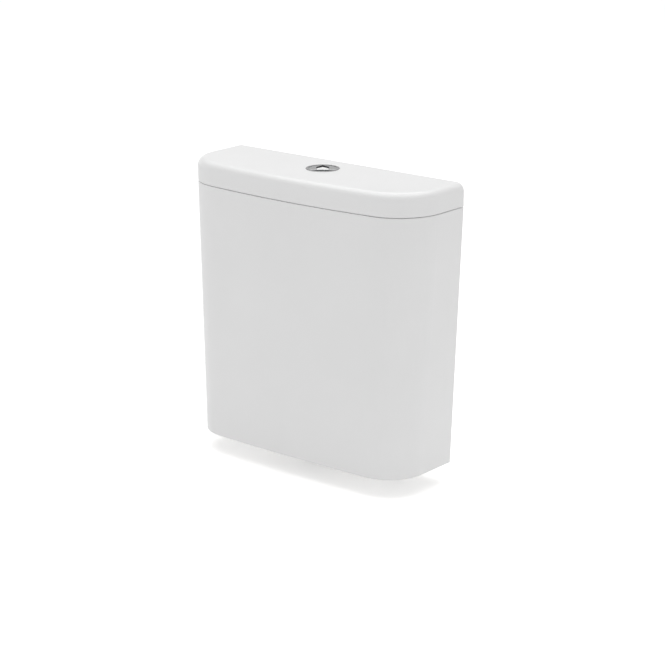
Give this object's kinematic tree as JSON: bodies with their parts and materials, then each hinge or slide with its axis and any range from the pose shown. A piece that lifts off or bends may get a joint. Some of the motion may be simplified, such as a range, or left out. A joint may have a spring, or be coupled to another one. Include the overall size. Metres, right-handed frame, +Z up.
{
  "type": "toilet cistern",
  "caption": "White ceramic close-coupled toilet cistern with a tapered tank, bowed front, flat back, lift-off lid, dual flush chrome push button and working valves.",
  "frame": {"origin": "flush outlet's axis, in the plane of the rim that the tank rests on", "axes": "+Z up along the outlet's axis, -Y to the bowed front, +Y to the flat back"},
  "size_m": [0.4, 0.128, 0.4175],
  "materials": {
    "glazed_ceramic": "white glaze",
    "chrome": "bright plated",
    "white_plastic": "natural white, moulded",
    "grey_plastic": "grey, moulded",
    "blue_plastic": "blue, moulded",
    "yellow_plastic": "amber, moulded",
    "float_foam": "closed cell foam",
    "brass": "turned brass",
    "steel": "stainless",
    "spring_steel": "spring wire",
    "black_rubber": "moulded rubber",
    "silicone": "red silicone"
  },
  "bodies": {
    "tank": {"cistern_tank": "glazed_ceramic", "flush_valve_base": "white_plastic", "flush_valve_washer": "black_rubber", "flush_valve_backnut": "grey_plastic", "coupling_seal": "black_rubber", "flush_valve_tower": "white_plastic", "flush_valve_head": "grey_plastic", "lever_axles": "steel", "fill_valve_shank": "white_plastic", "inlet_filter": "grey_plastic", "refill_downtube": "grey_plastic", "fill_valve_head": "white_plastic", "diaphragm": "black_rubber", "fill_valve_cap": "grey_plastic", "float_lever_pin": "steel", "blanking_plug": "grey_plastic", "inlet_washers": "black_rubber", "friction_washers": "white_plastic", "inlet_nuts": "grey_plastic", "coupling_bolts": "brass", "cone_washers": "black_rubber", "steel_washers": "steel", "coupling_nuts": "brass"},
    "lid": {"cistern_lid": "glazed_ceramic", "button_bezel": "chrome", "button_barrel": "white_plastic", "button_gasket": "black_rubber", "button_barrel_nut": "white_plastic"},
    "full_button": {"full_flush_button": "chrome", "full_flush_push_rod": "blue_plastic", "full_flush_return_spring": "spring_steel"},
    "half_button": {"half_flush_button": "chrome", "half_flush_push_rod": "white_plastic", "half_flush_return_spring": "spring_steel"},
    "full_lever": {"full_flush_lever": "blue_plastic"},
    "half_lever": {"half_flush_lever": "white_plastic"},
    "flush_valve_column": {"overflow_tube": "white_plastic", "seal_retainer": "grey_plastic", "flush_seal": "silicone", "seal_holder": "blue_plastic", "full_flush_float": "float_foam", "half_flush_float": "float_foam", "lift_yoke": "yellow_plastic"},
    "fill_lever": {"float_lever": "blue_plastic", "pilot_seal": "silicone"},
    "hanger": {"float_hanger": "white_plastic", "float_hanger_pin": "steel"},
    "screw": {"level_screw": "yellow_plastic"},
    "cup": {"float_cup": "white_plastic"}
  },
  "joints": [
    {"name": "lid_lift", "type": "slide", "parent": "tank", "child": "lid", "axis": [0, 0, 1], "range_m": [0, 0.16]},
    {"name": "full_flush_press", "type": "slide", "parent": "lid", "child": "full_button", "axis": [0, 0, -1], "range_m": [0, 0.006], "stiffness_N_per_m": 250, "springref_m": -0.006, "deforming": ["full_flush_return_spring"]},
    {"name": "half_flush_press", "type": "slide", "parent": "lid", "child": "half_button", "axis": [0, 0, -1], "range_m": [0, 0.006], "stiffness_N_per_m": 250, "springref_m": -0.006, "deforming": ["half_flush_return_spring"]},
    {"name": "full_lever_swing", "type": "hinge", "parent": "tank", "child": "full_lever", "pos_m": [-0.00159, 0.00193, 0.318], "axis": [-0.7705, -0.6374, 0], "range_deg": [0, 33.8]},
    {"name": "half_lever_swing", "type": "hinge", "parent": "tank", "child": "half_lever", "pos_m": [0.00159, -0.00193, 0.318], "axis": [0.7705, 0.6374, 0], "range_deg": [0, 33.8]},
    {"name": "valve_lift", "type": "slide", "parent": "tank", "child": "flush_valve_column", "axis": [0, 0, 1], "range_m": [0, 0.012]},
    {"name": "float_rise", "type": "slide", "parent": "tank", "child": "hanger", "axis": [0, 0, 1], "range_m": [0, 0.012]},
    {"name": "fill_lever_swing", "type": "hinge", "parent": "tank", "child": "fill_lever", "pos_m": [0.123, 0, 0.2975], "axis": [0, 1, 0], "range_deg": [0, 21.94]},
    {"name": "level_screw_turn", "type": "hinge", "parent": "hanger", "child": "screw", "pos_m": [0.0932, 0, 0.27], "axis": [0, 0, 1], "range_deg": [-540, 540]},
    {"name": "cup_trim", "type": "slide", "parent": "hanger", "child": "cup", "axis": [0, 0, 1], "range_m": [-0.006, 0.006]}
  ],
  "couplings": [
    {"joint": "full_lever_swing", "follows": "full_flush_press", "rad_per_m": 98.3},
    {"joint": "valve_lift", "follows": "full_flush_press", "ratio": 2},
    {"joint": "half_lever_swing", "follows": "half_flush_press", "rad_per_m": 98.3},
    {"joint": "fill_lever_swing", "follows": "float_rise", "rad_per_m": 31.9},
    {"joint": "level_screw_turn", "follows": "cup_trim", "rad_per_m": 1570}
  ]
}
